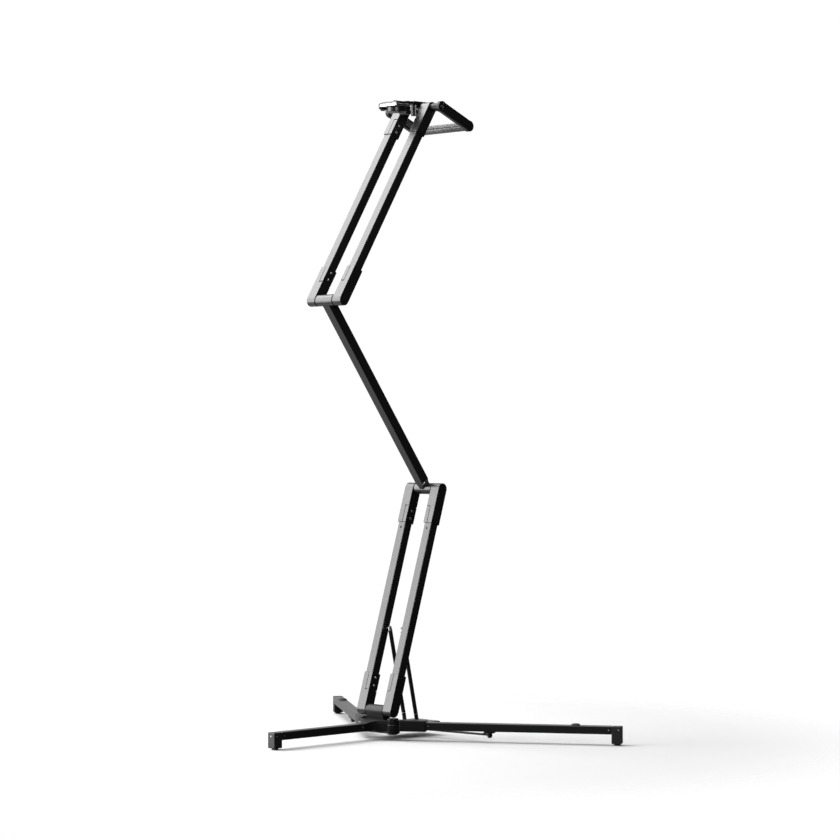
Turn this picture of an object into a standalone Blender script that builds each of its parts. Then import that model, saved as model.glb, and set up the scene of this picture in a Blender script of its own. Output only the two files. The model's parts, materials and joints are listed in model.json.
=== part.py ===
"""Folding Z-arm camera stand: a low three-leg base, two pairs of square tubes with one
tube between them, a tilting and panning head, and a U-shaped grip handle at the top.

X is the plane the arms swing in, the front foot points to -X, the left side is +Y and the
floor is Z = 0. The origin is the middle of the stand's footprint, on the floor.
"""
import math

import bmesh
import bpy
from mathutils import Matrix, Vector

# Driving dimensions in metres and degrees
GAP = 0.0003                # left between pieces that touch
AXLE_R = 0.005              # every arm axle
BORE_R = 0.0053             # bore that an axle turns in

ARM_LENGTH = 0.500          # axis to axis, all three arms
BASE_AXIS = (0.0035, 0.0618)    # x and z of the lowest arm axis
LOWER_LEAN = 16.9           # from upright, towards +X
MIDDLE_LEAN = -35.6
UPPER_LEAN = 31.3
TUBE_HALF_SPACING = 0.041   # a paired tube's centre from the middle plane
TUBE_SIDE = 0.021
TUBE_WALL = 0.0016
MIDDLE_TUBE_SIDE = 0.022
SLEEVE_SIDE = 0.025
SLEEVE_LENGTH = 0.080       # from its axis to its mouth
TOP_SLEEVE_LENGTH = 0.070   # the sleeves that carry the head
POCKET_START = 0.030        # where a sleeve's socket for the tube begins
JAW_LENGTH = 0.039
JAW_DEPTH = 0.010
SAW_HEIGHT = 0.0024         # the cut that ends the jaw
SAW_WIDTH = 0.0014          # the cut along the jaw
BARREL_HALF = 0.0257        # half the knee barrel's length
BUTTON_R = 0.00275          # button hole in the lower tubes

LEG_PIVOT = (0.0077, 0.0431)    # x and y of the left leg's pivot
LEG_ANGLE = 55.0            # from +X
LEG_LENGTH = 0.4877         # pivot to foot centre
LEG_WIDTH = 0.022
LEG_TOP = 0.0405
LEG_BOTTOM = 0.0235
FRONT_LEG_TOP = 0.0366
FRONT_LEG_BOTTOM = 0.0196
FRONT_FOOT_X = -0.290
FOOT_LENGTH = 0.022
PAD_HEIGHT = 0.0030
PAD_R = 0.0072
SOCKET_BOTTOM = 0.0200
SOCKET_TOP = 0.0440
SOCKET_START = 0.0165       # from the leg pivot
SOCKET_END = 0.0753
SOCKET_WIDTH = 0.026
KNUCKLE_R = 0.0153
KNUCKLE_TOP = 0.0322
BOLT_R = 0.004

EAR_R = 0.0156              # the hub's ears above and below the leg knuckles
HUB_TOP = 0.0430
UPPER_EAR_BOTTOM = 0.0345
LOWER_EAR_TOP = 0.0200
HUB_BOTTOM = 0.0148
HUB_FRONT = -0.043
HUB_REAR = 0.0255
NOSE_HALF = 0.0118          # the hub's half width where it takes the front leg
FLARE_R = 0.029             # hollow curve from the nose out to the ears
TONGUE_END = 0.052          # the hub's tongue lies on the rail
TONGUE_TOP = 0.0395
TONGUE_HALF = 0.0268
BOLT_CAP_TOP = 0.0470
BOLT_HEAD_BOTTOM = 0.0120
RAIL_START = 0.0360
RAIL_END = 0.155
RAIL_HALF_WIDTH = 0.039
RAIL_TOP = 0.0305
RAIL_BOTTOM = 0.0205
RAIL_WALL = 0.003
RAIL_ROOF = 0.0040

STUD_REACH = 0.2127         # leg pivot to tie-rod stud
ROD_Z = 0.0160
ROD_R = 0.0025
SLIDER_PIN = (0.102, 0.020)     # x and y of the left tie rod's inner end
SLIDER_HALF_LENGTH = 0.0110

STRUT_ALONG_ARM = 0.186     # lowest arm axis to the strut's top
STRUT_FOOT = (0.102, 0.0368)    # x and z
STRUT_Y = 0.0195
STRUT_R = 0.0045
STRUT_CAP = 0.009           # length of its bright end cap
STRUT_HEEL = 0.0036         # strut below its foot pin
STRUT_SLOT = 0.0030         # slot that the lug stands in
LUG_R = 0.0040
LUG_THICKNESS = 0.0024
FOOT_PIN_R = 0.0016

HUB_POST_R = 0.0105         # upright post that the head pans on
HUB_POST_LOW = -0.0138      # from the head axis
HUB_POST_HIGH = 0.0108
BRACKET_TOP = 0.0156
DISC_REACH = 0.0568         # head axis to the disc under the clamp
DISC_R = 0.022
DISC_LOW = -0.0103
DISC_HIGH = 0.0007
CLAMP_FRONT = -0.0839
CLAMP_REAR = -0.0420
CLAMP_HALF_WIDTH = 0.0255
CLAMP_HEIGHT = 0.0055
PLATE_HEIGHT = 0.0045

HANDLE_LENGTH = 0.0912      # hinge axis to grip axis
HANDLE_DROP = 23.6          # below level
HANDLE_INNER = 0.0758       # side arm's inner face from the middle plane
HANDLE_OUTER = 0.0850
HANDLE_END_R = 0.0120
HANDLE_HALF_WIDTH = 0.0112
GRIP_R = 0.0098

ROUND = 28                  # sides of a large round
SMALL_ROUND = 16            # sides of a small one


def arm_end(start, lean):
    """The x and z of an arm's far axis."""
    angle = math.radians(lean)
    return (start[0] + ARM_LENGTH * math.sin(angle), start[1] + ARM_LENGTH * math.cos(angle))


LOWER_KNEE = arm_end(BASE_AXIS, LOWER_LEAN)
UPPER_KNEE = arm_end(LOWER_KNEE, MIDDLE_LEAN)
HEAD_AXIS = arm_end(UPPER_KNEE, UPPER_LEAN)

for old in list(bpy.data.objects):
    bpy.data.objects.remove(old)

PARTS = bpy.data.collections.new("folding_camera_stand")
CUTTERS = bpy.data.collections.new("cutters")
bpy.context.scene.collection.children.link(PARTS)
bpy.context.scene.collection.children.link(CUTTERS)


def material(name, color, roughness, metallic):
    """A plain Principled finish."""
    made = bpy.data.materials.new(name)
    made.use_nodes = True
    shader = made.node_tree.nodes["Principled BSDF"]
    shader.inputs["Base Color"].default_value = (*color, 1.0)
    shader.inputs["Roughness"].default_value = roughness
    shader.inputs["Metallic"].default_value = metallic
    return made


ANODISED = material("black_anodised", (0.020, 0.020, 0.021), 0.34, 0.7)
CAST = material("black_cast", (0.030, 0.030, 0.031), 0.45, 0.5)
RUBBER = material("black_rubber", (0.012, 0.012, 0.012), 0.80, 0.0)
NYLON = material("black_nylon", (0.016, 0.016, 0.016), 0.55, 0.0)
STEEL = material("bright_steel", (0.55, 0.55, 0.54), 0.25, 1.0)
DARK_STEEL = material("blackened_steel", (0.045, 0.045, 0.047), 0.35, 0.9)
KNURLED = material("knurled_grip", (0.10, 0.10, 0.10), 0.50, 0.4)


def frame(name, location, tilt=0.0, turn=0.0):
    """An empty on a joint's axis, tilted about Y and turned about Z, in degrees."""
    empty = bpy.data.objects.new(name, None)
    empty.empty_display_size = 0.03
    empty.location = location
    empty.rotation_euler = (0.0, math.radians(tilt), math.radians(turn))
    PARTS.objects.link(empty)
    return empty


BASE = frame("base_frame", (0.0, 0.0, 0.0))
LOWER = frame("lower_arm_frame", (BASE_AXIS[0], 0.0, BASE_AXIS[1]), LOWER_LEAN)
MIDDLE = frame("middle_arm_frame", (LOWER_KNEE[0], 0.0, LOWER_KNEE[1]), MIDDLE_LEAN)
UPPER = frame("upper_arm_frame", (UPPER_KNEE[0], 0.0, UPPER_KNEE[1]), UPPER_LEAN)
HEAD = frame("head_frame", (HEAD_AXIS[0], 0.0, HEAD_AXIS[1]))
HANDLE = frame("handle_frame", (HEAD_AXIS[0], 0.0, HEAD_AXIS[1]), HANDLE_DROP)


def node(name, mesh, finish, parent, location=(0.0, 0.0, 0.0), rotation=(0.0, 0.0, 0.0)):
    """One named piece of the stand."""
    piece = bpy.data.objects.new(name, mesh)
    piece.data.materials.clear()
    piece.data.materials.append(finish)
    piece.parent = parent
    piece.location = location
    piece.rotation_euler = rotation
    PARTS.objects.link(piece)
    return piece


def bevel(piece, width, segments=1):
    """Break the piece's sharp edges."""
    edge = piece.modifiers.new("Bevel", "BEVEL")
    edge.width = width
    edge.segments = segments
    edge.limit_method = "ANGLE"
    edge.angle_limit = math.radians(40)
    return piece


def combine(piece, mesh, operation="DIFFERENCE"):
    """Cut the piece with a mesh given in the piece's own frame, or join it on."""
    tool = bpy.data.objects.new(piece.name + "_tool", mesh)
    tool.parent = piece.parent
    tool.location = piece.location
    tool.rotation_euler = piece.rotation_euler
    tool.display_type = "WIRE"
    tool.hide_render = True
    CUTTERS.objects.link(tool)
    change = piece.modifiers.new(operation.title(), "BOOLEAN")
    change.operation = operation
    change.object = tool
    return piece


def finish_mesh(shape, name):
    """A mesh from a bmesh, its round sides smooth."""
    mesh = bpy.data.meshes.new(name)
    shape.to_mesh(mesh)
    shape.free()
    mesh.shade_smooth()
    mesh.set_sharp_from_angle(angle=math.radians(32))
    return mesh


def add_box(shape, low, high):
    """A box between two corners."""
    size = Vector(high) - Vector(low)
    centre = (Vector(high) + Vector(low)) / 2
    place = Matrix.Translation(centre) @ Matrix.Diagonal((*size, 1.0))
    bmesh.ops.create_cube(shape, size=1.0, matrix=place)


def add_rod(shape, start, end, radius, sides=ROUND, end_radius=None):
    """A round bar, or a cone, between two points."""
    start = Vector(start)
    run = Vector(end) - start
    place = Matrix.Translation(start + run / 2) @ run.to_track_quat("Z", "Y").to_matrix().to_4x4()
    bmesh.ops.create_cone(
        shape, cap_ends=True, segments=sides, radius1=radius,
        radius2=radius if end_radius is None else end_radius, depth=run.length, matrix=place)


def box(low, high, name="box"):
    shape = bmesh.new()
    add_box(shape, low, high)
    return finish_mesh(shape, name)


def cone(start, end, radius, end_radius, sides=20):
    shape = bmesh.new()
    add_rod(shape, start, end, radius, sides, end_radius)
    return finish_mesh(shape, "cone")


def rod(start, end, radius, sides=ROUND, name="rod"):
    shape = bmesh.new()
    add_rod(shape, start, end, radius, sides)
    return finish_mesh(shape, name)


def slab(outline, low, high, upright=False, across=False, name="slab"):
    """A flat outline given thickness between low and high: along Z, along Y if upright, or
    along X if across."""
    curve = bpy.data.curves.new(name, "CURVE")
    curve.dimensions = "2D"
    curve.fill_mode = "BOTH"
    curve.extrude = (high - low) / 2
    spline = curve.splines.new("POLY")
    spline.points.add(len(outline) - 1)
    for point, (first, second) in zip(spline.points, outline):
        point.co = (first, second, 0.0, 1.0)
    spline.use_cyclic_u = True
    guide = bpy.data.objects.new(name, curve)
    CUTTERS.objects.link(guide)
    solid = guide.evaluated_get(bpy.context.evaluated_depsgraph_get())
    mesh = bpy.data.meshes.new_from_object(solid)
    bpy.data.objects.remove(guide)
    middle = (high + low) / 2
    if across:
        place = (Matrix.Translation((middle, 0.0, 0.0)) @ Matrix.Rotation(math.radians(90), 4, "Z")
                 @ Matrix.Rotation(math.radians(90), 4, "X"))
    elif upright:
        place = Matrix.Translation((0.0, middle, 0.0)) @ Matrix.Rotation(math.radians(90), 4, "X")
    else:
        place = Matrix.Translation((0.0, 0.0, middle))
    shape = bmesh.new()
    shape.from_mesh(mesh)
    bmesh.ops.remove_doubles(shape, verts=shape.verts, dist=0.00001)
    bmesh.ops.recalc_face_normals(shape, faces=shape.faces)
    bmesh.ops.transform(shape, matrix=place, verts=shape.verts)
    return finish_mesh(shape, name)


def arc(centre, radius, start, end, steps=10):
    """Points along an arc, in degrees."""
    angles = (math.radians(start + (end - start) * step / steps) for step in range(steps + 1))
    return [(centre[0] + radius * math.cos(a), centre[1] + radius * math.sin(a)) for a in angles]


def mirrored(half):
    """A closed outline from its +Y half, which runs from the front to the rear."""
    return half + [(x, -y) for x, y in reversed(half)]


def rounded_end(radius, length, steps=12):
    """A bar's side view: round about the origin, square at its far end, along +Y."""
    return arc((0.0, 0.0), radius, 180, 360, steps) + [(radius, length), (-radius, length)]


def square_tube(name, side, start, end, finish, parent, across=0.0, wall=TUBE_WALL):
    """A hollow square tube along the arm frame's Z."""
    half = side / 2
    tube = node(name, box((-half, across - half, start), (half, across + half, end), name),
                finish, parent)
    bevel(tube, 0.0010)
    inner = half - wall
    combine(tube, box((-inner, across - inner, start - 0.01), (inner, across + inner, end + 0.01)))
    return tube


# The base hub is one casting: a nose for the front leg, an ear above and below each side
# leg's knuckle, a tongue that lies on the rail, and the block for the lowest arm axle.
def make_hub():
    flare = arc((HUB_FRONT + 0.004, NOSE_HALF + FLARE_R), FLARE_R, 270, 315, 8)
    nose = [(HUB_FRONT, NOSE_HALF)] + flare
    ear = arc(LEG_PIVOT, EAR_R, 170, -20, 14)
    hollow = arc(LEG_PIVOT, KNUCKLE_R + 0.0008, 185, 300, 10)
    hub = node("base_hub", slab(mirrored(nose + ear + [(HUB_REAR, 0.030)]), UPPER_EAR_BOTTOM,
                                HUB_TOP, name="base_hub"), CAST, BASE)
    bevel(hub, 0.0012)
    combine(hub, slab(mirrored(nose + hollow + [(HUB_REAR, 0.028)]), FRONT_LEG_BOTTOM,
                      UPPER_EAR_BOTTOM + 0.001), "UNION")
    combine(hub, slab(mirrored([(-0.010, 0.012), (-0.006, 0.030)] + ear + [(HUB_REAR, 0.026)]),
                      HUB_BOTTOM, LOWER_EAR_TOP), "UNION")
    combine(hub, box((0.0, -TONGUE_HALF, RAIL_TOP + GAP), (TONGUE_END, TONGUE_HALF, TONGUE_TOP)),
            "UNION")
    combine(hub, slab([(-0.1, FRONT_LEG_TOP), (HUB_FRONT, FRONT_LEG_TOP), (-0.011, HUB_TOP),
                       (-0.011, 0.1), (-0.1, 0.1)], -0.1, 0.1, upright=True))
    drop = BASE_AXIS[1] - HUB_TOP + 0.004
    profile = (arc((0.0, 0.0), SLEEVE_SIDE / 2, 150, 360, 14)
               + [(SLEEVE_SIDE / 2, drop), (-0.0045, drop)])
    block = slab([(x + BASE_AXIS[0], BASE_AXIS[1] - y) for x, y in profile],
                 -BARREL_HALF, BARREL_HALF, upright=True)
    combine(hub, block, "UNION")
    combine(hub, rod((BASE_AXIS[0], -0.04, BASE_AXIS[1]), (BASE_AXIS[0], 0.04, BASE_AXIS[1]),
                     BORE_R, 20))
    for side in (1, -1):
        x, y = LEG_PIVOT[0], LEG_PIVOT[1] * side
        combine(hub, rod((x, y, 0.0), (x, y, 0.06), BOLT_R + GAP, SMALL_ROUND))
    return hub


def make_front_leg():
    half = LEG_WIDTH / 2
    start = FRONT_FOOT_X + FOOT_LENGTH / 2 + GAP
    end = HUB_FRONT - GAP
    leg = node("front_leg_tube", box((start, -half, FRONT_LEG_BOTTOM), (end, half, FRONT_LEG_TOP)),
               ANODISED, BASE)
    bevel(leg, 0.0010)
    inner = half - TUBE_WALL
    combine(leg, box((start - 0.01, -inner, FRONT_LEG_BOTTOM + TUBE_WALL),
                     (end + 0.01, inner, FRONT_LEG_TOP - TUBE_WALL)))
    foot = FOOT_LENGTH / 2
    block = node("front_foot", box((FRONT_FOOT_X - foot, -half, PAD_HEIGHT + GAP),
                                   (FRONT_FOOT_X + foot, half, FRONT_LEG_TOP)), NYLON, BASE)
    bevel(block, 0.0016, 2)
    sole = node("front_foot_pad", rod((FRONT_FOOT_X, 0, 0), (FRONT_FOOT_X, 0, PAD_HEIGHT), PAD_R,
                                      24), RUBBER, BASE)
    bevel(sole, 0.0008)


def make_rear_rail():
    """The inverted channel behind the hub, which the tie rods' slider runs in."""
    rail = node("rear_rail", box((RAIL_START, -RAIL_HALF_WIDTH, RAIL_BOTTOM),
                                 (RAIL_END, RAIL_HALF_WIDTH, RAIL_TOP)), ANODISED, BASE)
    bevel(rail, 0.0015, 2)
    inside = RAIL_HALF_WIDTH - RAIL_WALL
    combine(rail, box((RAIL_START - 0.01, -inside, RAIL_BOTTOM - 0.01),
                      (RAIL_END - RAIL_WALL, inside, RAIL_TOP - RAIL_ROOF)))


def make_leg_bolt(name, side):
    """The shoulder bolt on a side leg's pivot, with a wide cap above and a head below."""
    x, y = LEG_PIVOT[0], LEG_PIVOT[1] * side
    bolt = node(name + "_leg_bolt", rod((x, y, BOLT_HEAD_BOTTOM + 0.001), (x, y, HUB_TOP + 0.002),
                                        BOLT_R, SMALL_ROUND), DARK_STEEL, BASE)
    combine(bolt, rod((x, y, HUB_TOP + GAP), (x, y, BOLT_CAP_TOP), 0.0120), "UNION")
    combine(bolt, rod((x, y, BOLT_HEAD_BOTTOM), (x, y, HUB_BOTTOM - GAP), 0.0110), "UNION")


def make_side_leg(name, side):
    """A side leg in its own frame: +X runs from the pivot to the foot."""
    leg = frame(name + "_leg_frame", (LEG_PIVOT[0], LEG_PIVOT[1] * side, 0.0),
                turn=LEG_ANGLE * side)
    half = SOCKET_WIDTH / 2
    socket = node(name + "_leg_socket", box((SOCKET_START, -half, SOCKET_BOTTOM),
                                            (SOCKET_END, half, SOCKET_TOP)), CAST, leg)
    bevel(socket, 0.0024, 2)
    knuckle_low = LOWER_EAR_TOP + GAP
    combine(socket, rod((0, 0, knuckle_low), (0, 0, KNUCKLE_TOP), KNUCKLE_R), "UNION")
    combine(socket, box((0.0, -0.009, SOCKET_BOTTOM + 0.001),
                        (SOCKET_START + 0.003, 0.009, KNUCKLE_TOP)), "UNION")
    combine(socket, rod((0, 0, 0.01), (0, 0, 0.05), BOLT_R + GAP, SMALL_ROUND))
    tube_half = LEG_WIDTH / 2
    tube_start = SOCKET_START + 0.008
    combine(socket, box((tube_start, -tube_half - GAP, LEG_BOTTOM - GAP),
                        (SOCKET_END + 0.01, tube_half + GAP, LEG_TOP + GAP)))

    foot_start = LEG_LENGTH - FOOT_LENGTH / 2
    tube = node(name + "_leg_tube", box((tube_start + GAP, -tube_half, LEG_BOTTOM),
                                        (foot_start - GAP, tube_half, LEG_TOP)), ANODISED, leg)
    bevel(tube, 0.0010)
    inner = tube_half - TUBE_WALL
    combine(tube, box((0.0, -inner, LEG_BOTTOM + TUBE_WALL),
                      (LEG_LENGTH, inner, LEG_TOP - TUBE_WALL)))

    foot_end = LEG_LENGTH + FOOT_LENGTH / 2
    foot = node(name + "_foot", box((foot_start, -tube_half, PAD_HEIGHT + GAP),
                                    (foot_end, tube_half, LEG_TOP)), NYLON, leg)
    bevel(foot, 0.0016, 2)
    sole = node(name + "_foot_pad", rod((LEG_LENGTH, 0, 0), (LEG_LENGTH, 0, PAD_HEIGHT), PAD_R, 24),
                RUBBER, leg)
    bevel(sole, 0.0008)

    bumper_x = LEG_LENGTH - 0.089
    bumper = node(name + "_bumper", rod((bumper_x, 0, LEG_TOP + GAP), (bumper_x, 0, LEG_TOP + 0.004),
                                        0.0098, 24), RUBBER, leg)
    bevel(bumper, 0.0012, 2)

    under = LEG_BOTTOM - GAP
    bracket = node(name + "_stud_bracket", box((STUD_REACH - 0.012, -0.010, under - 0.003),
                                               (STUD_REACH + 0.012, 0.010, under)),
                   DARK_STEEL, leg)
    bevel(bracket, 0.0008)
    combine(bracket, rod((STUD_REACH, 0, 0.0108), (STUD_REACH, 0, under - 0.001), ROD_R,
                         SMALL_ROUND), "UNION")
    combine(bracket, rod((STUD_REACH, 0, 0.0098), (STUD_REACH, 0, 0.0121), 0.0045,
                         SMALL_ROUND), "UNION")


def make_tie_rod(name, side):
    """A round rod from the leg's stud in to the slider, with an eye and a turned-up pin."""
    angle = math.radians(LEG_ANGLE)
    stud = Vector((LEG_PIVOT[0] + STUD_REACH * math.cos(angle),
                   (LEG_PIVOT[1] + STUD_REACH * math.sin(angle)) * side, 0.0))
    pin = Vector((SLIDER_PIN[0], SLIDER_PIN[1] * side, 0.0))
    pivot = frame(name + "_tie_rod_frame", stud)
    run = pin - stud
    up = Vector((0.0, 0.0, ROD_Z))
    toward = run.normalized() * 0.004
    bar = node(name + "_tie_rod", rod(toward + up, run + up, ROD_R, 12), DARK_STEEL, pivot)
    combine(bar, rod((0, 0, 0.0125), (0, 0, 0.0195), 0.0058, 20), "UNION")
    combine(bar, rod(run + Vector((0, 0, ROD_Z - 0.0025)), run + Vector((0, 0, 0.0255)), 0.0026,
                     SMALL_ROUND), "UNION")
    combine(bar, rod((0, 0, 0.0), (0, 0, 0.03), ROD_R + GAP, SMALL_ROUND))


def make_slider():
    """The block that keeps the side legs in step; each tie rod's pin rides in its slot."""
    x = SLIDER_PIN[0]
    inside = RAIL_HALF_WIDTH - RAIL_WALL - 0.0005
    block = node("leg_slider", box((x - SLIDER_HALF_LENGTH, -inside, RAIL_BOTTOM + 0.0002),
                                   (x + SLIDER_HALF_LENGTH, inside, RAIL_TOP - RAIL_ROOF - 0.0005)),
                 NYLON, BASE)
    bevel(block, 0.0006)
    for side in (1, -1):
        combine(block, box((x - 0.0085, min(0.0045 * side, 0.0250 * side), 0.0),
                           (x + 0.0085, max(0.0045 * side, 0.0250 * side), 0.05)))


def make_struts():
    """Two braces behind the lowest arm, each on a lug and pin, with a bright clip at its top."""
    foot = Vector((STRUT_FOOT[0], 0.0, STRUT_FOOT[1]))
    lean = math.radians(LOWER_LEAN)
    top = Vector((BASE_AXIS[0] + STRUT_ALONG_ARM * math.sin(lean), 0.0,
                  BASE_AXIS[1] + STRUT_ALONG_ARM * math.cos(lean)))
    run = top - foot
    way = run.normalized()
    pivot = frame("strut_frame", foot)
    x, z = STRUT_FOOT
    for name, side in (("left", 1), ("right", -1)):
        y = STRUT_Y * side
        across = Vector((0.0, y, 0.0))
        cap_start = run - way * STRUT_CAP
        bar = node(name + "_strut", rod(across - way * STRUT_HEEL, cap_start + across, STRUT_R, 20),
                   ANODISED, pivot)
        combine(bar, box((-0.02, y - STRUT_SLOT / 2, -0.02), (0.02, y + STRUT_SLOT / 2, 0.0078)))
        combine(bar, rod((0, y - 0.01, 0), (0, y + 0.01, 0), FOOT_PIN_R + GAP, 12))
        clip = node(name + "_strut_clip", cone(cap_start + way * GAP + across, run + across,
                                               0.0048, 0.0034), STEEL, pivot)
        pin_start = run - way * 0.0045 + across
        pin_end = pin_start + Vector((0, (TUBE_HALF_SPACING - STRUT_Y - TUBE_SIDE / 2
                                          - 0.0008) * side, 0))
        combine(clip, rod(pin_start, pin_end, 0.0026, 12), "UNION")

        half = LUG_THICKNESS / 2
        lug = node(name + "_strut_lug", slab(
            arc((x, z), LUG_R, 0, 180) + [(x - LUG_R, RAIL_TOP + GAP), (x + LUG_R, RAIL_TOP + GAP)],
            y - half, y + half, upright=True), CAST, BASE)
        combine(lug, rod((x, y - 0.01, z), (x, y + 0.01, z), FOOT_PIN_R + GAP, 12))
        node(name + "_strut_pin", rod((x, y - 0.0040, z), (x, y + 0.0040, z), FOOT_PIN_R, 12), STEEL,
             BASE)


def make_sleeve(name, arm, side, at_top, length, through=False):
    """The end fitting of one paired tube, with a clamp jaw sawn free at its mouth."""
    half = SLEEVE_SIDE / 2
    inner = -side
    sleeve = node(name, slab(rounded_end(half, length), -half, half, upright=True, name=name),
                  ANODISED, arm, (0.0, TUBE_HALF_SPACING * side, ARM_LENGTH if at_top else 0.0),
                  (0.0, math.pi if at_top else 0.0, 0.0))
    bevel(sleeve, 0.0009)
    far = half + 0.01 if through else half - 0.005
    combine(sleeve, rod((0, inner * (half + 0.01), 0), (0, -inner * far, 0), BORE_R, 20))
    pocket = TUBE_SIDE / 2 + GAP
    combine(sleeve, box((-pocket, -pocket, POCKET_START), (pocket, pocket, length + 0.01)))
    saw_start = length - JAW_LENGTH
    low, high = sorted((inner * (half - JAW_DEPTH), inner * (half + 0.01)))
    combine(sleeve, box((-0.02, low, saw_start), (0.02, high, saw_start + SAW_HEIGHT)))
    low, high = sorted((inner * (half - JAW_DEPTH), inner * (half - JAW_DEPTH - SAW_WIDTH)))
    near = -0.02 if not at_top else 0.0
    combine(sleeve, box((near, low, saw_start), (near + 0.02, high, length + 0.01)))


def make_paired_arm(name, arm, top_length, top_through):
    for side, label in ((1, "left"), (-1, "right")):
        tube = square_tube(name + "_" + label + "_tube", TUBE_SIDE, POCKET_START + GAP,
                           ARM_LENGTH - POCKET_START - GAP, ANODISED, arm,
                           TUBE_HALF_SPACING * side)
        if not top_through:
            button = ARM_LENGTH - top_length - 0.012
            y = TUBE_HALF_SPACING * side
            combine(tube, rod((-0.02, y, button), (-TUBE_SIDE / 4, y, button), BUTTON_R,
                              SMALL_ROUND))
        arm_side = name + "_" + label
        make_sleeve(arm_side + "_bottom_sleeve", arm, side, False, SLEEVE_LENGTH)
        make_sleeve(arm_side + "_top_sleeve", arm, side, True, top_length, top_through)


def make_middle_arm():
    """The single tube, a barrel at each end and the knee axles."""
    tube = square_tube("middle_tube", MIDDLE_TUBE_SIDE, 0.0, ARM_LENGTH, ANODISED, MIDDLE)
    barrel_r = SLEEVE_SIDE / 2
    half = MIDDLE_TUBE_SIDE / 2
    for side in (1, -1):
        combine(tube, slab([(0.0060 * side, 0.0), (0.0060 * side, 0.0130), (half * side, 0.0230),
                            (0.02 * side, 0.0230), (0.02 * side, 0.0)], -0.02, 0.02, across=True))
    reach = TUBE_HALF_SPACING + SLEEVE_SIDE / 2 - 0.0055
    for label, z in (("lower", 0.0), ("upper", ARM_LENGTH)):
        barrel = node(label + "_knee_barrel", rod((0, -BARREL_HALF, z), (0, BARREL_HALF, z),
                                                  barrel_r), ANODISED, MIDDLE)
        bevel(barrel, 0.0008)
        combine(barrel, rod((0, -0.04, z), (0, 0.04, z), BORE_R, 20))
        combine(tube, rod((0, -0.04, z), (0, 0.04, z), barrel_r + GAP))
        node(label + "_knee_axle", rod((0, -reach, z), (0, reach, z), AXLE_R, 20), STEEL, MIDDLE)


def make_base_axle():
    x, z = BASE_AXIS
    reach = TUBE_HALF_SPACING + SLEEVE_SIDE / 2 - 0.0055
    node("base_axle", rod((x, -reach, z), (x, reach, z), AXLE_R, 20), STEEL, BASE)


def make_head():
    """Tilting post on the top axle, panning bracket, disc, clamp, plate and screw."""
    flange_end = TUBE_HALF_SPACING - SLEEVE_SIDE / 2 - GAP
    post = node("head_post", rod((0, 0, HUB_POST_LOW), (0, 0, HUB_POST_HIGH), HUB_POST_R), ANODISED,
                HEAD)
    combine(post, rod((0, -flange_end, 0), (0, flange_end, 0), 0.0065, 20), "UNION")
    for side in (1, -1):
        combine(post, rod((0, (flange_end - 0.003) * side, 0), (0, flange_end * side, 0), 0.0112,
                          24), "UNION")
    combine(post, rod((0, -0.04, 0), (0, 0.04, 0), BORE_R, 20))
    reach = 0.0805
    node("head_axle", rod((0, -reach, 0), (0, reach, 0), AXLE_R, 20), STEEL, HEAD)

    plate_low = HUB_POST_HIGH + GAP
    disc_cut = -DISC_REACH + 0.0175
    block_rear = -0.0265
    bracket = node("head_bracket", slab(
        [(disc_cut + GAP, HUB_POST_LOW), (block_rear, HUB_POST_LOW), (block_rear, plate_low),
         (0.0175, plate_low), (0.0175, BRACKET_TOP), (disc_cut + GAP, BRACKET_TOP)],
        -0.012, 0.012, upright=True), CAST, HEAD)
    bevel(bracket, 0.0012)
    combine(bracket, box((-0.022, -0.019, plate_low), (0.0175, 0.019, BRACKET_TOP)), "UNION")

    disc = node("pan_disc", rod((-DISC_REACH, 0, DISC_LOW), (-DISC_REACH, 0, DISC_HIGH), DISC_R, 36),
                ANODISED, HEAD)
    bevel(disc, 0.0014, 2)
    combine(disc, box((disc_cut, -0.03, -0.02), (0.0, 0.03, 0.02)))

    clamp_low = DISC_HIGH + GAP
    clamp_high = clamp_low + CLAMP_HEIGHT
    clamp = node("clamp_body", box((CLAMP_FRONT, -CLAMP_HALF_WIDTH, clamp_low),
                                   (CLAMP_REAR, CLAMP_HALF_WIDTH, clamp_high)), STEEL, HEAD)
    bevel(clamp, 0.0008)
    jaw_y = CLAMP_HALF_WIDTH + GAP
    jaw = node("clamp_jaw", box((CLAMP_FRONT + 0.002, jaw_y, clamp_low - 0.004),
                                (CLAMP_REAR - 0.002, jaw_y + 0.006, clamp_high + 0.0030)), CAST,
               HEAD)
    bevel(jaw, 0.0012, 2)
    knob_x = (CLAMP_FRONT + CLAMP_REAR) / 2
    knob_z = clamp_low + 0.001
    knob = node("clamp_knob", rod((0, 0, 0), (0, 0.010, 0), 0.0072, 24), DARK_STEEL, HEAD,
                (knob_x, jaw_y + 0.006 + GAP, knob_z))
    bevel(knob, 0.0009, 2)

    plate_base = clamp_high + GAP
    plate = node("quick_release_plate", box(
        (CLAMP_FRONT + 0.002, -CLAMP_HALF_WIDTH + 0.001, plate_base),
        (CLAMP_REAR - 0.001, CLAMP_HALF_WIDTH - 0.001, plate_base + PLATE_HEIGHT)), ANODISED, HEAD)
    bevel(plate, 0.0007)
    combine(plate, rod((knob_x, 0, -0.01), (knob_x, 0, 0.03), 0.0036, SMALL_ROUND))
    screw = node("camera_screw", rod((knob_x, 0, plate_base + GAP),
                                     (knob_x, 0, plate_base + PLATE_HEIGHT + 0.0050), 0.0032,
                                     SMALL_ROUND), STEEL, HEAD)
    bevel(screw, 0.0006)


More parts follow.
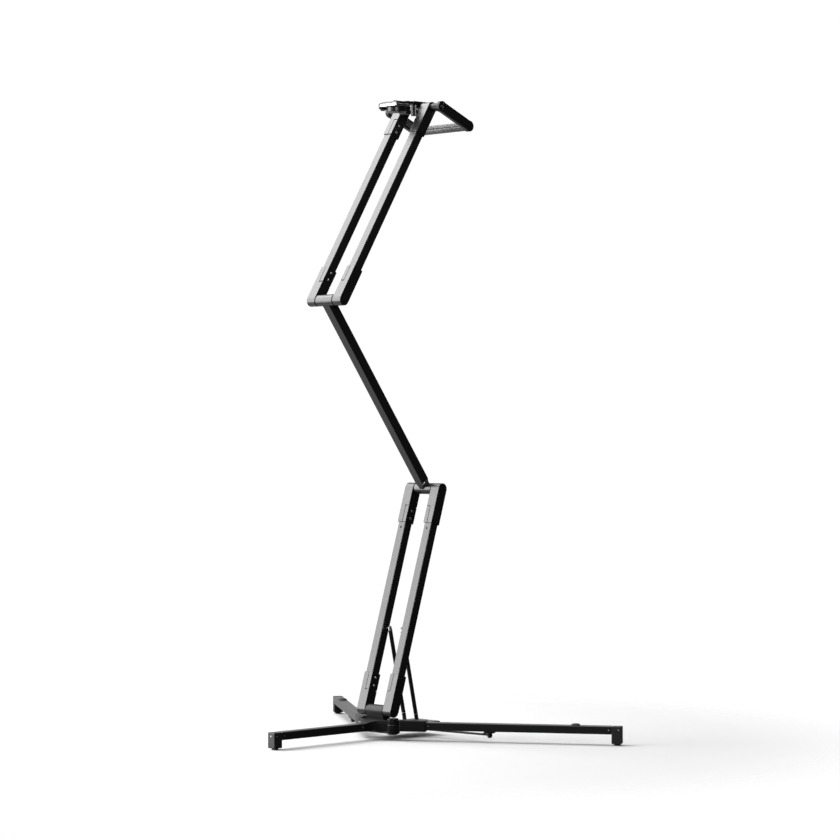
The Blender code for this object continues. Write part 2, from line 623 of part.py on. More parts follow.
def make_handle():
    """Two side arms hinged on the head axle, a barrel inside each, and the grip bar."""
    turn = math.degrees(math.asin(HANDLE_HALF_WIDTH / HANDLE_END_R))
    outline = (arc((0.0, 0.0), HANDLE_END_R, turn, 360 - turn, 20)
               + arc((HANDLE_LENGTH, 0.0), HANDLE_END_R, turn - 180, 180 - turn, 20))
    for side, label in ((1, "left"), (-1, "right")):
        low, high = sorted((HANDLE_INNER * side, HANDLE_OUTER * side))
        arm = node("handle_" + label + "_arm", slab(outline, low, high, upright=True), CAST,
                   HANDLE)
        bevel(arm, 0.0011)
        inner = (TUBE_HALF_SPACING + SLEEVE_SIDE / 2 + GAP) * side
        combine(arm, rod((0, inner, 0), (0, (HANDLE_INNER + 0.001) * side, 0), 0.0092), "UNION")
        combine(arm, rod((0, 0.04 * side, 0), (0, 0.0809 * side, 0), BORE_R, 20))
        low, high = sorted((0.04 * side, (HANDLE_INNER - 0.002) * side))
        combine(arm, box((-0.012, low, -0.0026), (-0.0075, high, -0.0014)))
    grip = node("grip_bar", rod((HANDLE_LENGTH, -HANDLE_INNER + GAP, 0),
                                (HANDLE_LENGTH, HANDLE_INNER - GAP, 0), GRIP_R, 32),
                KNURLED, HANDLE)
    bevel(grip, 0.0006)


make_hub()
make_front_leg()
make_rear_rail()
make_leg_bolt("left", 1)
make_leg_bolt("right", -1)
make_base_axle()
make_side_leg("left", 1)
make_side_leg("right", -1)
make_tie_rod("left", 1)
make_tie_rod("right", -1)
make_slider()
make_struts()
make_paired_arm("lower", LOWER, SLEEVE_LENGTH, False)
make_middle_arm()
make_paired_arm("upper", UPPER, TOP_SLEEVE_LENGTH, True)
make_head()
make_handle()
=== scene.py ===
"""Looks of the folding Z-arm camera stand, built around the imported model."""
import json
import math

import bmesh
import bpy
from mathutils import Matrix, Vector


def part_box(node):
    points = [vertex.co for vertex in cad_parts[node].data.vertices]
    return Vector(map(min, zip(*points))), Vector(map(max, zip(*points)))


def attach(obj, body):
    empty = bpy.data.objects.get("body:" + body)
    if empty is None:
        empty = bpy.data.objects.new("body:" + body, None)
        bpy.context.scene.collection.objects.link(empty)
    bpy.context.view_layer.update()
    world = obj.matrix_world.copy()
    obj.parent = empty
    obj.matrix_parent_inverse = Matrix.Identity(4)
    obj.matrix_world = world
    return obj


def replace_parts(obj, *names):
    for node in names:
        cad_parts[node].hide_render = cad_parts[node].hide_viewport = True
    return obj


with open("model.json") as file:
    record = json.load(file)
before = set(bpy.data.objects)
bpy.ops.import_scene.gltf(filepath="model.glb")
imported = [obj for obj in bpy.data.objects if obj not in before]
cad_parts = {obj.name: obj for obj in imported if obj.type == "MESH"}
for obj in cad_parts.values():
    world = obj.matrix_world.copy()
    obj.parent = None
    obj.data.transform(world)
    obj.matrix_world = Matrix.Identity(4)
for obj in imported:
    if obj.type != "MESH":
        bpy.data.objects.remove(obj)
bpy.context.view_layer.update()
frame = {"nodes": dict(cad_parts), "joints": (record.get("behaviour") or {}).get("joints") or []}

# Where things are: the hinge axes come from the joints, the rest from the nodes' boxes.
joints = {joint["name"]: joint for joint in frame["joints"]}
base_axis = Vector(joints["lower_arm_hinge"]["pos_m"])
lower_knee = Vector(joints["lower_knee"]["pos_m"])
upper_knee = Vector(joints["upper_knee"]["pos_m"])
head_axis = Vector(joints["head_tilt"]["pos_m"])
left_pivot = Vector(joints["left_leg_swing"]["pos_m"])

# Camera: level, about 6 m from the stand and a little below its middle, through a long lens.
front_foot_low, front_foot_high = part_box("front_foot")
front_foot_x = (front_foot_low[0] + front_foot_high[0]) / 2
camera_back = 3.797
camera_aside = 4.406
camera_height = 0.6914
camera_heading = -43.75
camera_data = bpy.data.cameras.new("camera")
camera_data.sensor_width = 36.0
camera_data.lens = 118.7
camera = bpy.data.objects.new("camera", camera_data)
camera.location = (front_foot_x - camera_back, -camera_aside, camera_height)
camera.rotation_euler = (math.pi / 2, 0.0, math.radians(camera_heading))
bpy.context.scene.collection.objects.link(camera)
bpy.context.scene.camera = camera
bpy.context.scene.view_settings.view_transform = "Standard"


# Shader maths: a Wire is one socket, and an expression on wires adds the nodes that work it
# out. A Finish is one material, whose add method makes any other node.
class Wire:
    def __init__(self, tree, socket):
        self.tree = tree
        self.socket = socket

    def maths(self, operation, first, second):
        node = self.tree.nodes.new("ShaderNodeMath")
        node.operation = operation
        for socket, value in zip(node.inputs, (first, second)):
            if isinstance(value, Wire):
                self.tree.links.new(value.socket, socket)
            else:
                socket.default_value = value
        return Wire(self.tree, node.outputs[0])

    def __add__(self, other):
        return self.maths("ADD", self, other)

    def __radd__(self, other):
        return self.maths("ADD", other, self)

    def __sub__(self, other):
        return self.maths("SUBTRACT", self, other)

    def __rsub__(self, other):
        return self.maths("SUBTRACT", other, self)

    def __mul__(self, other):
        return self.maths("MULTIPLY", self, other)

    def __rmul__(self, other):
        return self.maths("MULTIPLY", other, self)

    def __pow__(self, other):
        return self.maths("POWER", self, other)


class Finish:
    def __init__(self, name, roughness=0.5, metallic=0.0):
        self.material = bpy.data.materials.new(name)
        self.material.use_nodes = True
        self.tree = self.material.node_tree
        self.shader = self.tree.nodes["Principled BSDF"]
        self.shader.inputs["Roughness"].default_value = roughness
        self.shader.inputs["Metallic"].default_value = metallic
        self.place = self.add("ShaderNodeTexCoord", output="Object")

    def add(self, kind, settings=None, output=0, **sockets):
        """A node of any kind, its settings first, then its sockets' values or links."""
        node = self.tree.nodes.new(kind)
        for setting, value in (settings or {}).items():
            if setting == "stops":
                for index, (position, color) in enumerate(value):
                    ramp = node.color_ramp.elements
                    stop = ramp[index] if index < 2 else ramp.new(position)
                    stop.position = position
                    stop.color = color
            else:
                setattr(node, setting, value)
        for name, value in sockets.items():
            self.feed(node.inputs[name.replace("_", " ")], value)
        return Wire(self.tree, node.outputs[output])

    def feed(self, socket, value):
        if isinstance(value, Wire):
            self.tree.links.new(value.socket, socket)
        else:
            socket.default_value = value

    def noise(self, scale, detail=3.0, stretch=(1.0, 1.0, 1.0)):
        """Noise from 0 to 1, finer along an axis whose stretch is above 1."""
        where = self.add("ShaderNodeMapping", Vector=self.place, Scale=stretch)
        return self.add("ShaderNodeTexNoise", Vector=where, Scale=scale, Detail=detail)

    def between(self, value, low, high):
        """0 below low, 1 above high, smooth between."""
        return self.add("ShaderNodeMapRange", {"interpolation_type": "SMOOTHSTEP"}, Value=value,
                        From_Min=low, From_Max=high)

    def blend(self, factor, first, second):
        """A colour from first to second."""
        node = self.tree.nodes.new("ShaderNodeMix")
        node.data_type = "RGBA"
        self.feed(node.inputs[0], factor)
        self.feed(node.inputs[6], first)
        self.feed(node.inputs[7], second)
        return Wire(self.tree, node.outputs[2])

    def paint(self, color=None, roughness=None, metallic=None, bump=None, depth=0.0002):
        for name, value in (("Base Color", color), ("Roughness", roughness),
                            ("Metallic", metallic)):
            if value is not None:
                self.feed(self.shader.inputs[name], value)
        if bump is not None:
            surface = self.add("ShaderNodeBump", output="Normal", Height=bump, Distance=depth,
                               Strength=1.0)
            self.feed(self.shader.inputs["Normal"], surface)
        return self.material


def grey(level, warmth=0.0):
    return (level * (1 + warmth), level, level * (1 - warmth), 1.0)


def dress(material, *names):
    """Give CAD nodes their finish, with round sides smooth and edges crisp."""
    for name in names:
        node = frame["nodes"][name]
        node.data.materials.clear()
        node.data.materials.append(material)
        node.data.shade_smooth()
        node.data.set_sharp_from_angle(angle=math.radians(32))


# Floor and light: a pale floor that fades out into a white surround, and soft boxes around
# the stand: a tall one to its left, two above it and a weak one in front of it.
floor_reach = 1.6
fade_start = 0.62
fade_end = 1.2
floor_shape = bmesh.new()
bmesh.ops.create_circle(floor_shape, cap_ends=True, segments=96, radius=floor_reach)
floor_mesh = bpy.data.meshes.new("floor")
floor_shape.to_mesh(floor_mesh)
floor_shape.free()
floor = bpy.data.objects.new("floor", floor_mesh)
bpy.context.scene.collection.objects.link(floor)
floor.visible_diffuse = False
floor.visible_glossy = False
floor_finish = Finish("pale_floor", roughness=0.7)
floor_distance = floor_finish.add("ShaderNodeVectorMath", {"operation": "LENGTH"}, output="Value",
                                  Vector=floor_finish.place)
floor_finish.feed(floor_finish.shader.inputs["Alpha"],
                  1 - floor_finish.between(floor_distance, fade_start, fade_end))
floor_mesh.materials.append(floor_finish.paint(
    color=floor_finish.blend(floor_finish.noise(3.0), grey(0.58), grey(0.61)),
    bump=floor_finish.noise(400.0), depth=0.0001))

world = bpy.data.worlds.new("studio")
bpy.context.scene.world = world
world.use_nodes = True
room = world.node_tree
room.nodes.clear()
room_where = room.nodes.new("ShaderNodeTexCoord")
room_split = room.nodes.new("ShaderNodeSeparateXYZ")
room_side = room.nodes.new("ShaderNodeMapRange")
room_side.interpolation_type = "SMOOTHSTEP"
room_side.inputs["From Min"].default_value = 0.0
room_side.inputs["From Max"].default_value = 0.5
room_side.inputs["To Min"].default_value = 0.03
room_side.inputs["To Max"].default_value = 0.9
room_light = room.nodes.new("ShaderNodeBackground")
room_seen = room.nodes.new("ShaderNodeBackground")
room_seen.inputs["Color"].default_value = (1.0, 1.0, 1.0, 1.0)
room_seen.inputs["Strength"].default_value = 1.02
room_path = room.nodes.new("ShaderNodeLightPath")
room_mix = room.nodes.new("ShaderNodeMixShader")
room_out = room.nodes.new("ShaderNodeOutputWorld")
room.links.new(room_where.outputs["Generated"], room_split.inputs[0])
room.links.new(room_split.outputs["Y"], room_side.inputs["Value"])
room.links.new(room_side.outputs["Result"], room_light.inputs["Strength"])
room.links.new(room_path.outputs["Is Camera Ray"], room_mix.inputs[0])
room.links.new(room_light.outputs[0], room_mix.inputs[1])
room.links.new(room_seen.outputs[0], room_mix.inputs[2])
room.links.new(room_mix.outputs[0], room_out.inputs["Surface"])


def soft_light(name, at, toward, width, height, power):
    data = bpy.data.lights.new(name, "AREA")
    data.shape = "RECTANGLE"
    data.size = width
    data.size_y = height
    data.energy = power
    light = bpy.data.objects.new(name, data)
    light.location = at
    light.rotation_euler = (Vector(toward) - Vector(at)).to_track_quat("-Z", "Y").to_euler()
    light.visible_camera = False
    bpy.context.scene.collection.objects.link(light)


soft_light("side_light", (-2.3, 2.4, 1.1), (0.0, 0.0, 0.8), 2.2, 2.6, 155.0)
soft_light("top_light", (0.0, 0.3, 3.2), (0.0, 0.0, 0.0), 2.8, 2.8, 75.0)
soft_light("high_light", (-0.8, 2.3, 3.1), (-0.05, 0.0, 1.1), 2.4, 2.4, 140.0)
soft_light("front_light", (-3.0, -3.2, 1.9), (0.0, 0.0, 0.9), 0.8, 0.8, 42.0)


# Tubes: extruded square aluminium, bead blasted and black anodised. The finish is even, with
# a fine grain, faint draw lines along the tube and a few lighter rubs.
def anodised(name, level=0.014, roughness=0.33, grain=1500.0):
    finish = Finish(name)
    grit = finish.noise(grain, detail=2.0)
    cloud = finish.noise(9.0, detail=4.0)
    rubs = finish.between(finish.noise(85.0, 5.0, (3.0, 3.0, 0.35)), 0.70, 0.80)
    color = finish.blend(cloud, grey(level * 0.9), grey(level * 1.15, -0.01))
    return finish.paint(color=finish.blend(rubs * 0.25, color, grey(0.08)),
                        roughness=roughness - 0.02 + cloud * 0.04 + grit * 0.03 - rubs * 0.03,
                        bump=grit + rubs * 0.3, depth=0.00002)


tube_finish = anodised("anodised_tube")
dress(tube_finish, "lower_left_tube", "lower_right_tube", "middle_tube", "upper_left_tube",
      "upper_right_tube", "front_leg_tube", "left_leg_tube", "right_leg_tube")

# Sleeves and knee barrels: machined from bar, so slightly smoother than the tubes, and black
# anodised with them.
machined_finish = anodised("anodised_machined", level=0.012, roughness=0.29, grain=2400.0)
dress(machined_finish, "lower_knee_barrel", "upper_knee_barrel", "pan_disc", "head_post",
      *(arm + side + end for arm in ("lower", "upper") for side in ("_left", "_right")
        for end in ("_bottom_sleeve", "_top_sleeve")))


# Jaw screws: button-head hex screws, two in each sleeve's inner face, that pull the sawn jaw
# in on the tube. Bright zinc heads, each drawn round by round from its seat to its socket.
def facing(at, toward):
    """A place whose own Z points the given way."""
    return Matrix.Translation(at) @ Vector(toward).to_track_quat("Z", "Y").to_matrix().to_4x4()


def turned(shape, place, stations, sides=32):
    """A closed lathe shape. A station is (height, radius) or (height, radius, flats)."""
    rows = []
    for height, radius, *flats in stations:
        row = []
        for index in range(sides):
            angle = 2 * math.pi * index / sides
            reach = radius
            if flats:
                half = math.pi / flats[0]
                reach = radius * math.cos(half) / math.cos(angle % (2 * half) - half)
            row.append(shape.verts.new(place @ Vector((reach * math.cos(angle),
                                                       reach * math.sin(angle), height))))
        rows.append(row)
    for low, high in zip(rows, rows[1:]):
        for index in range(sides):
            after = (index + 1) % sides
            shape.faces.new((low[index], low[after], high[after], high[index]))
    shape.faces.new(list(reversed(rows[0])))
    shape.faces.new(rows[-1])


def piece(name, shape, material, body, sharp=38.0):
    """A finished object that rides on a body."""
    bmesh.ops.recalc_face_normals(shape, faces=shape.faces)
    mesh = bpy.data.meshes.new(name)
    shape.to_mesh(mesh)
    shape.free()
    mesh.materials.append(material)
    mesh.shade_smooth()
    mesh.set_sharp_from_angle(angle=math.radians(sharp))
    made = bpy.data.objects.new(name, mesh)
    bpy.context.scene.collection.objects.link(made)
    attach(made, body)
    return made


def steel(name, level=0.55, roughness=0.24):
    finish = Finish(name, metallic=1.0)
    rings = finish.noise(700.0, 2.0)
    stain = finish.noise(60.0, 4.0)
    return finish.paint(color=finish.blend(stain, grey(level * 0.85, 0.01), grey(level * 1.1)),
                        roughness=roughness + stain * 0.12 + rings * 0.05, bump=rings,
                        depth=0.00003)


bright_steel = steel("bright_steel")
black_steel = steel("black_oxide_steel", level=0.05, roughness=0.30)


def button_screw(shape, at, toward, radius=0.0034, height=0.0021):
    """A domed head with a chamfered rim and a hex socket."""
    dome = [(height * math.sin(math.radians(step)), radius * math.cos(math.radians(step)) ** 0.5)
            for step in (15, 35, 55, 70)]
    socket = radius * 0.48
    turned(shape, facing(at, toward), [(-0.0003, radius * 0.96), (0.0, radius)] + dome + [
        (height, socket * 1.25), (height * 0.97, socket, 6), (height * 0.35, socket * 0.94, 6),
        (height * 0.30, socket * 0.5)], 24)


sleeve_half = 0.0125
tube_centre = 0.041
jaw_length = 0.039
sleeve_reach = 0.080
head_sleeve_reach = 0.070
across = Vector((0.0, 1.0, 0.0))
paired_arms = (("lower", base_axis, lower_knee, sleeve_reach),
               ("upper", upper_knee, head_axis, head_sleeve_reach))


def sleeve_mouths(low_axis, high_axis, high_reach):
    """Each sleeve of an arm: its side, its axis, the way along it and its length."""
    along = (high_axis - low_axis).normalized()
    return [(side, axis, way, reach) for side in (1, -1)
            for axis, way, reach in ((low_axis, along, sleeve_reach),
                                     (high_axis, -along, high_reach))]


for arm, *ends in paired_arms:
    screws = bmesh.new()
    for side, axis, way, reach in sleeve_mouths(*ends):
        for share in (0.26, 0.70):
            seat = axis + way * (reach - jaw_length * share)
            seat = seat + across * (tube_centre - sleeve_half) * side
            button_screw(screws, seat, -across * side)
    piece(arm + "_jaw_screws", screws, bright_steel, arm + "_arm")


# Saw-cut shade blocks: black blocks in the nylon finish, set in the saw cut that ends each jaw.
# They are painted shade, keeping the cut dark where the white surround would show through it.
nylon = Finish("black_nylon")
nylon_cloud = nylon.noise(30.0)
nylon_finish = nylon.paint(color=nylon.blend(nylon_cloud, grey(0.012), grey(0.022)),
                           roughness=0.48 + nylon_cloud * 0.14, bump=nylon.noise(900.0),
                           depth=0.00005)


def block(shape, low, high, chamfer, place=Matrix()):
    """A chamfered box between two corners of a place."""
    size = Vector(high) - Vector(low)
    made = bmesh.ops.create_cube(shape, size=1.0, matrix=place @ Matrix.Translation(
        (Vector(low) + Vector(high)) / 2) @ Matrix.Diagonal((*size, 1.0)))
    edges = {edge for vert in made["verts"] for edge in vert.link_edges}
    bmesh.ops.bevel(shape, geom=list(edges), offset=chamfer, segments=2, profile=0.6,
                    affect="EDGES")


cut_middle = 0.0012
shade_block_centre = 0.02955
shade_block_corner = Vector((0.0116, 0.0007, 0.0009))
for arm, *ends in paired_arms:
    saw_cut_shade_blocks = bmesh.new()
    for side, axis, way, reach in sleeve_mouths(*ends):
        cut = axis + way * (reach - jaw_length + cut_middle) + across * shade_block_centre * side
        turn = Matrix((across.cross(way), across, way)).transposed().to_4x4()
        # Each block is painted shade: it fills its saw cut with black.
        block(saw_cut_shade_blocks, -shade_block_corner, shade_block_corner, 0.0002, Matrix.Translation(cut) @ turn)
    piece(arm + "_jaw_cut_shade_blocks", saw_cut_shade_blocks, nylon_finish, arm + "_arm")


# Knee washers: thin black acetal washers between each barrel and the sleeves beside it, with a
# small step at the rim. They carry the friction of the joint.
def ring(shape, place, inner, outer, low, high, chamfer=0.0003, sides=40):
    """A flat ring with a hole, standing along the place's Z from low to high."""
    outline = ((low, inner), (low, outer - chamfer), (low + chamfer, outer),
               (high - chamfer, outer), (high, outer - chamfer), (high, inner))
    rows = []
    for height, radius in outline:
        rows.append([shape.verts.new(place @ Vector((
            radius * math.cos(2 * math.pi * index / sides),
            radius * math.sin(2 * math.pi * index / sides), height))) for index in range(sides)])
    for low_row, high_row in zip(rows, rows[1:] + rows[:1]):
        for index in range(sides):
            after = (index + 1) % sides
            shape.faces.new((low_row[index], low_row[after], high_row[after], high_row[index]))


barrel_half = 0.0257
for label, body, axis in (("base", "base", base_axis), ("lower_knee", "middle_arm", lower_knee),
                          ("upper_knee", "middle_arm", upper_knee)):
    washers = bmesh.new()
    for side in (1, -1):
        ring(washers, facing(axis, across * side), 0.0052, 0.0114, barrel_half + 0.0002,
             tube_centre - sleeve_half - 0.0002)
    piece(label + "_washers", washers, nylon_finish, body)


# Button plugs: black spring buttons that sit in the holes below the top sleeves of the lower
# tubes and lock the tube in its sleeve.
button_below_knee = 0.092
button_depth = 0.0092
plugs = bmesh.new()
lower_along = (lower_knee - base_axis).normalized()
lower_front = across.cross(lower_along).normalized() * -1
for side in (1, -1):
    at = lower_knee - lower_along * button_below_knee + across * tube_centre * side
    at = at + lower_front * button_depth
    turned(plugs, facing(at, lower_front), [(-0.001, 0.0024), (0.0002, 0.0024), (0.0007, 0.0019),
                                            (0.0009, 0.0008)], 24)
piece("button_plugs", plugs, black_steel, "lower_arm")


# Castings: the hub, the leg sockets, the strut lugs, the head bracket and the handle's side
# arms are die cast and painted black, with a slight orange peel and a few worn spots. The
# plain machined, moulded and turned pieces take the finishes made above.
cast = Finish("black_casting")
cast.shader.inputs["Specular IOR Level"].default_value = 0.22
peel = cast.noise(520.0, 2.0)
cast_cloud = cast.noise(16.0, 4.0)
chips = cast.between(cast.noise(120.0, 6.0), 0.72, 0.78)
cast_finish = cast.paint(
    color=cast.blend(chips * 0.3, cast.blend(cast_cloud, grey(0.010), grey(0.015)), grey(0.07)),
    roughness=0.36 + cast_cloud * 0.10 + chips * 0.1, bump=peel, depth=0.00010)
dress(cast_finish, "base_hub", "left_leg_socket", "right_leg_socket", "left_strut_lug",
      "right_strut_lug", "head_bracket", "clamp_jaw", "handle_left_arm", "handle_right_arm")
dress(machined_finish, "rear_rail", "left_strut", "right_strut", "quick_release_plate")
dress(nylon_finish, "leg_slider", "front_foot", "left_foot", "right_foot")
dress(bright_steel, "base_axle", "lower_knee_axle", "upper_knee_axle", "head_axle",
      "left_strut_pin", "right_strut_pin", "clamp_body", "left_strut_clip", "right_strut_clip")
dress(black_steel, "left_stud_bracket", "right_stud_bracket", "left_tie_rod", "right_tie_rod")


# Leg pivots: a bright washer lies on each leg's knuckle, and a black shoulder bolt with a wide
# cap and a hex socket goes down through the hub's ears.
def centre(node):
    low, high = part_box(node)
    return (Vector(low) + Vector(high)) / 2


up = Vector((0.0, 0.0, 1.0))
pivots = {"left": left_pivot, "right": Vector(joints["right_leg_swing"]["pos_m"])}
for side, pivot in pivots.items():
    place = Matrix.Translation((pivot.x, pivot.y, 0.0))
    washer = bmesh.new()
    ring(washer, place, 0.0045, 0.0151, 0.0325, 0.0342)
    piece(side + "_leg_washer", washer, bright_steel, "base")
    bolt = bmesh.new()
    turned(bolt, place, [
        (0.0120, 0.0100), (0.0124, 0.0110), (0.0144, 0.0110), (0.0145, 0.0040), (0.0432, 0.0040),
        (0.0433, 0.0114), (0.0438, 0.0120), (0.0462, 0.0120), (0.0470, 0.0112), (0.0470, 0.0046),
        (0.0467, 0.0036, 6), (0.0448, 0.0034, 6), (0.0447, 0.0015)], 36)
    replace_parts(piece(side + "_shoulder_bolt", bolt, black_steel, "base"),
                side + "_leg_bolt")


# Leg rivets: small bright domed rivets in both sides of each leg, one pair near the hub and
# two pairs around the moulded foot, and a larger one in the end of the foot.
leg_side = 0.0110


def rivet(shape, at, toward, radius=0.0016):
    turned(shape, facing(at, toward), [(-0.0002, radius), (0.0001, radius), (0.0006, radius * 0.8),
                                       (0.0008, radius * 0.35)], 16)


leg_places = [("base", "front", Vector((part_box("front_leg_tube")[1][0] + 0.004, 0.0, 0.0)),
               centre("front_foot_pad"), 0.0281, 0.010)]
for side, pivot in pivots.items():
    leg_places.append((side + "_leg", side, pivot, centre(side + "_foot_pad"), 0.0325, 0.0800))
for body, side, start, foot, height, first in leg_places:
    run = Vector((foot.x - start.x, foot.y - start.y, 0.0))
    along = run.normalized()
    beside = up.cross(along)
    rivets = bmesh.new()
    for reach in (first, run.length - 0.017, run.length + 0.004):
        for way in (1, -1):
            at = Vector((start.x, start.y, height)) + along * reach + beside * leg_side * way
            rivet(rivets, at, beside * way)
    rivet(rivets, Vector((foot.x, foot.y, height)) + along * leg_side, along, 0.0022)
    piece(side + "_rivets", rivets, bright_steel, body)


# Foot pads: ribbed rubber pads pressed into the feet, with a rounded rim and rings round the
# side. The bumpers that the folded arms rest on are the same rubber, domed, with a dimple.
rubber = Finish("black_rubber")
rubber_dust = rubber.between(rubber.noise(160.0, 5.0), 0.55, 0.75)
rubber_finish = rubber.paint(color=rubber.blend(rubber_dust * 0.5, grey(0.012), grey(0.035, 0.03)),
                             roughness=0.70 + rubber_dust * 0.15, bump=rubber.noise(700.0),
                             depth=0.0001)
for body, side in (("base", "front"), ("left_leg", "left"), ("right_leg", "right")):
    middle = centre(side + "_foot_pad")
    pad = bmesh.new()
    turned(pad, Matrix.Translation((middle.x, middle.y, 0.0)), [
        (0.0000, 0.0058), (0.0003, 0.0067), (0.0009, 0.0072), (0.0012, 0.0066), (0.0015, 0.0072),
        (0.0018, 0.0066), (0.0021, 0.0072), (0.0025, 0.0072), (0.0030, 0.0066)], 32)
    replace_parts(piece(side + "_ribbed_pad", pad, rubber_finish, body), side + "_foot_pad")
for side in ("left", "right"):
    low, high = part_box(side + "_bumper")
    middle = centre(side + "_bumper")
    bumper = bmesh.new()
    turned(bumper, Matrix.Translation((middle.x, middle.y, low[2])), [
        (0.0000, 0.0096), (0.0006, 0.0098), (0.0012, 0.0093), (0.0017, 0.0093), (0.0024, 0.0086),
        (0.0033, 0.0066), (0.0037, 0.0044), (0.0036, 0.0030), (0.0028, 0.0022), (0.0026, 0.0010)],
        36)
    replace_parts(piece(side + "_domed_bumper", bumper, rubber_finish, side + "_leg"),
                side + "_bumper")


# Hub and rail screws: small bright button heads that hold the hub's tongue down on the rail,
# and a pair that closes the rail's rear end.
rail_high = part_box("rear_rail")[1]
tongue_top = 0.0395
hub_screws = bmesh.new()
for side in (1, -1):
    button_screw(hub_screws, Vector((0.0445, 0.0200 * side, tongue_top)), up, 0.0027, 0.0016)
    button_screw(hub_screws, Vector((rail_high[0] - 0.007, 0.0300 * side, rail_high[2])), up,
                 0.0024, 0.0014)
piece("hub_screws", hub_screws, bright_steel, "base")


# Strut studs: black rings on the inner faces of the lower tubes, which the struts' bright
# clips press in to. A bright band rings each strut near its lower end.
stud_along_arm = 0.186
tube_inner_face = 0.0305
strut_centre = 0.0195
studs = bmesh.new()
for side in (1, -1):
    at = base_axis + lower_along * stud_along_arm
    place = facing(at + across * tube_inner_face * side, -across * side)
    ring(studs, place, 0.0031, 0.0058, 0.0000, 0.0019, 0.0004, 32)
piece("strut_studs", studs, black_steel, "lower_arm")
strut_foot = Vector(joints["strut_hinge"]["pos_m"])
strut_way = centre("left_strut_clip") - strut_foot
strut_way.y = 0.0
strut_way.normalize()
bands = bmesh.new()
for side in (1, -1):
    root = strut_foot + across * strut_centre * side
    ring(bands, facing(root, strut_way), 0.0044, 0.0050, 0.0112, 0.0126, 0.0002, 28)
piece("strut_bands", bands, bright_steel, "struts")


# Handle: three small screws ring each hinge cap on the outside, and a ribbed light alloy inlay
# is let into the inner face of each side arm. Both arms are the black casting.
handle_axis = Vector(joints["handle_hinge"]["pos_m"])
grip_low, grip_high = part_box("grip_bar")
grip_middle = centre("grip_bar")
handle_way = (grip_middle - handle_axis).normalized()
handle_side = across.cross(handle_way)
arm_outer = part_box("handle_left_arm")[1][1]
arm_thickness = 0.0092
arm_inner = arm_outer - arm_thickness
caps = bmesh.new()
for side in (1, -1):
    hinge = handle_axis + across * arm_outer * side
    turned(caps, facing(hinge, across * side), [
        (-0.0002, 0.0034), (0.0003, 0.0034), (0.0007, 0.0028), (0.0007, 0.0018),
        (0.0004, 0.0015, 6), (0.0001, 0.0014, 6)], 24)
    for turn in (40, 160, 280):
        angle = math.radians(turn)
        spot = hinge + (handle_way * math.cos(angle) + handle_side * math.sin(angle)) * 0.0070
        rivet(caps, spot, across * side, 0.0012)
piece("handle_screws", caps, bright_steel, "handle")

alloy = Finish("handle_inlay", metallic=1.0)
alloy_cloud = alloy.noise(90.0, 4.0)
alloy_finish = alloy.paint(color=alloy.blend(alloy_cloud, grey(0.30), grey(0.42)),
                           roughness=0.34 + alloy_cloud * 0.12, bump=alloy.noise(1200.0),
                           depth=0.00003)
for name, side in (("left", 1), ("right", -1)):
    inlay = bmesh.new()
    rows = []
    ridges = 34
    for index in range(ridges + 1):
        along = 0.024 + 0.049 * index / ridges
        lift = 0.0003 if index % 2 else 0.0009
        row = []
        for edge, slant in ((-0.0066, -0.0014), (0.0066, 0.0014)):
            inside = index not in (0, ridges)
            spot = (handle_axis + handle_way * (along + slant * inside) + handle_side * edge)
            row.append(inlay.verts.new(spot + across * (arm_inner - lift) * side))
            row.append(inlay.verts.new(spot + across * (arm_inner + 0.0004) * side))
        rows.append(row)
    for first, second in zip(rows, rows[1:]):
        for one, other in ((0, 2), (2, 3), (3, 1), (1, 0)):
            inlay.faces.new((first[one], first[other], second[other], second[one]))
    inlay.faces.new((rows[0][0], rows[0][1], rows[0][3], rows[0][2]))
    inlay.faces.new((rows[-1][0], rows[-1][2], rows[-1][3], rows[-1][1]))
    piece("handle_" + name + "_inlay", inlay, alloy_finish, "handle", 15.0)


# Grip: an aluminium bar between the handle's side arms, cut with lengthwise ribs that cross
# grooves break into rows of small blocks, and left smooth at both ends. Grey anodised.
grip = Finish("grip_anodised", metallic=0.75)
grip_cloud = grip.noise(40.0, 4.0)
grip_finish = grip.paint(color=grip.blend(grip_cloud, grey(0.075), grey(0.11)),
                         roughness=0.36 + grip_cloud * 0.14, bump=grip.noise(1500.0),
                         depth=0.00003)
grip_shape = bmesh.new()
grip_length = grip_high[1] - grip_low[1]
grip_radius = 0.0098
rib_sides = 4
ribs = 12
pitch = 0.0042
stations = [(0.0, 0), (0.006, 0)]
while stations[-1][0] + pitch < grip_length - 0.006:
    start = stations[-1][0]
    stations += [(start + 0.0003, 2), (start + 0.0009, 2), (start + 0.0012, 1), (start + pitch, 1)]
stations += [(grip_length - 0.006, 0), (grip_length, 0)]
rows = []
for reach, kind in stations:
    row = []
    for index in range(ribs * rib_sides):
        angle = 2 * math.pi * index / (ribs * rib_sides)
        sunk = kind == 2 or (kind == 1 and index % rib_sides == 0)
        radius = grip_radius - (0.0010 if sunk else 0.0)
        spot = Vector((grip_middle.x, grip_low[1] + reach, grip_middle.z))
        row.append(grip_shape.verts.new(spot + Vector((math.cos(angle), 0.0, math.sin(angle)))
                                        * radius))
    rows.append(row)
for first, second in zip(rows, rows[1:]):
    for index in range(len(first)):
        after = (index + 1) % len(first)
        grip_shape.faces.new((first[index], first[after], second[after], second[index]))
grip_shape.faces.new(list(reversed(rows[0])))
grip_shape.faces.new(rows[-1])
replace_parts(piece("ribbed_grip", grip_shape, grip_finish, "handle", 25.0),
            "grip_bar")


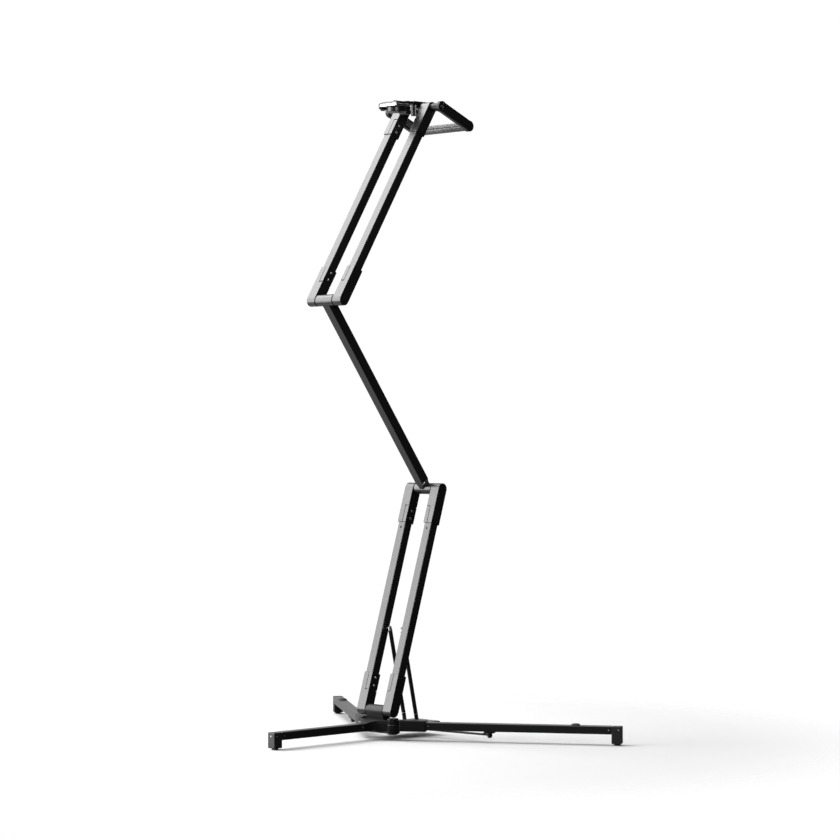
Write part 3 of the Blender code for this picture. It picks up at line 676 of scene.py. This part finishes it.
# Head: a small stop block stands behind the post, held by a bright screw, and two more screws
# hold the bracket's top plate. The block is cast with the same black paint.
bracket_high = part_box("head_bracket")[1]
stop = bmesh.new()
block(stop, head_axis + Vector((0.0118, -0.0062, 0.0022)),
      head_axis + Vector((0.0172, 0.0062, 0.0106)), 0.0008)
piece("head_stop", stop, cast_finish, "head")
head_screws = bmesh.new()
for side in (1, -1):
    button_screw(head_screws, head_axis + Vector((0.0145, 0.0062 * side, 0.0060)), across * side,
                 0.0017, 0.0008)
    button_screw(head_screws, Vector((head_axis.x + 0.0120, 0.0130 * side, bracket_high[2])), up,
                 0.0024, 0.0014)
piece("head_screws", head_screws, bright_steel, "head")


# Camera clamp: a knurled knob squeezes the jaw, two rubber strips lie on the plate, and the
# threaded screw for the camera stands through it.
knob_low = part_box("clamp_knob")[0]
knob_middle = centre("clamp_knob")
knob = bmesh.new()
turned(knob, facing(Vector((knob_middle.x, knob_low[1], knob_middle.z)), across), [
    (0.0000, 0.0040), (0.0012, 0.0042), (0.0018, 0.0062), (0.0024, 0.0072, 18),
    (0.0088, 0.0072, 18), (0.0097, 0.0064, 18), (0.0098, 0.0040), (0.0093, 0.0036),
    (0.0092, 0.0012)], 72)
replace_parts(piece("knurled_knob", knob, black_steel, "knob", 25.0), "clamp_knob")
plate_low, plate_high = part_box("quick_release_plate")
strips = bmesh.new()
for side in (1, -1):
    middle = (plate_low[1] + plate_high[1]) / 2 + 0.0155 * side
    block(strips, (plate_low[0] + 0.004, middle - 0.0055, plate_high[2] - 0.0002),
          (plate_high[0] - 0.004, middle + 0.0055, plate_high[2] + 0.0009), 0.0003)
piece("plate_strips", strips, rubber_finish, "pan")
screw_low, screw_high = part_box("camera_screw")
screw_middle = centre("camera_screw")
thread = bmesh.new()
turns = [(0.0, 0.0030)]
while turns[-1][0] < screw_high[2] - screw_low[2] - 0.0022:
    height = turns[-1][0]
    turns += [(height + 0.0005, 0.0032), (height + 0.0010, 0.0027)]
turns += [(screw_high[2] - screw_low[2] - 0.0006, 0.0032),
          (screw_high[2] - screw_low[2], 0.0026)]
turned(thread, Matrix.Translation((screw_middle.x, screw_middle.y, screw_low[2])), turns, 32)
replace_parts(piece("threaded_screw", thread, bright_steel, "pan", 20.0),
            "camera_screw")
